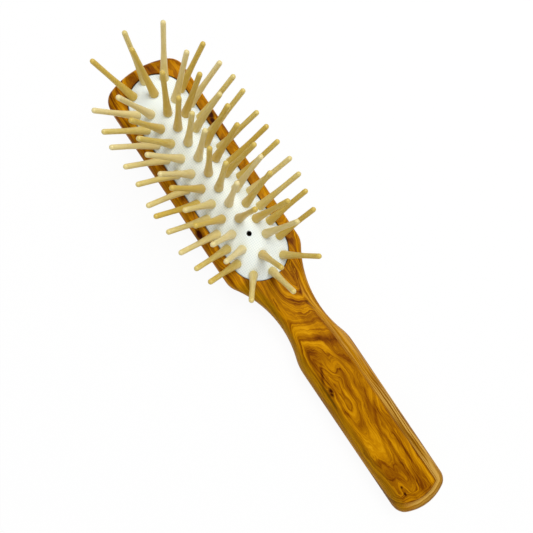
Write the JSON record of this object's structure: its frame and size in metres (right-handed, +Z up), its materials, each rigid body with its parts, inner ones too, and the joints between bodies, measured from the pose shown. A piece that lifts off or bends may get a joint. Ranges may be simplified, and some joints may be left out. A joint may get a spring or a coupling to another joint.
{
  "type": "wooden pin brush",
  "caption": "Slim wooden hairbrush and pet brush: waisted one-piece handle, domed white rubber cushion, rows of round-tipped turned wooden pins",
  "frame": {"origin": "middle of the brush's length and width, on the flat back that it lies on", "axes": "+X along the brush from the head to the end of the handle, +Y across it, +Z up, the way the pins stand"},
  "size_m": [0.2162, 0.0532, 0.0446],
  "materials": {
    "olive_wood": "oiled and lacquered, satin to gloss",
    "white_rubber": "matte fine textile face on rubber",
    "pin_wood": "turned, waxed, satin"
  },
  "bodies": {
    "root": {"brush_body": "olive_wood", "cushion": "white_rubber", "pin_outer_01": "pin_wood", "pin_outer_02": "pin_wood", "pin_outer_03": "pin_wood", "pin_outer_04": "pin_wood", "pin_outer_05": "pin_wood", "pin_outer_06": "pin_wood", "pin_outer_07": "pin_wood", "pin_outer_08": "pin_wood", "pin_outer_09": "pin_wood", "pin_outer_10": "pin_wood", "pin_outer_11": "pin_wood", "pin_outer_12": "pin_wood", "pin_outer_13": "pin_wood", "pin_outer_14": "pin_wood", "pin_outer_15": "pin_wood", "pin_outer_16": "pin_wood", "pin_outer_17": "pin_wood", "pin_outer_18": "pin_wood", "pin_outer_19": "pin_wood", "pin_outer_20": "pin_wood", "pin_outer_21": "pin_wood", "pin_outer_22": "pin_wood", "pin_outer_23": "pin_wood", "pin_outer_24": "pin_wood", "pin_outer_25": "pin_wood", "pin_outer_26": "pin_wood", "pin_outer_27": "pin_wood", "pin_outer_28": "pin_wood", "pin_inner_01": "pin_wood", "pin_inner_02": "pin_wood", "pin_inner_03": "pin_wood", "pin_inner_04": "pin_wood", "pin_inner_05": "pin_wood", "pin_inner_06": "pin_wood", "pin_inner_07": "pin_wood", "pin_inner_08": "pin_wood", "pin_inner_09": "pin_wood", "pin_inner_10": "pin_wood", "pin_inner_11": "pin_wood", "pin_inner_12": "pin_wood", "pin_inner_13": "pin_wood", "pin_inner_14": "pin_wood", "pin_inner_15": "pin_wood", "pin_inner_16": "pin_wood", "pin_inner_17": "pin_wood", "pin_inner_18": "pin_wood", "pin_inner_19": "pin_wood", "pin_inner_20": "pin_wood", "pin_inner_21": "pin_wood", "pin_inner_22": "pin_wood", "pin_middle_1": "pin_wood", "pin_middle_2": "pin_wood", "pin_middle_3": "pin_wood", "pin_middle_4": "pin_wood", "pin_middle_5": "pin_wood", "pin_middle_6": "pin_wood", "pin_middle_7": "pin_wood", "pin_middle_8": "pin_wood"}
  },
  "joints": []
}
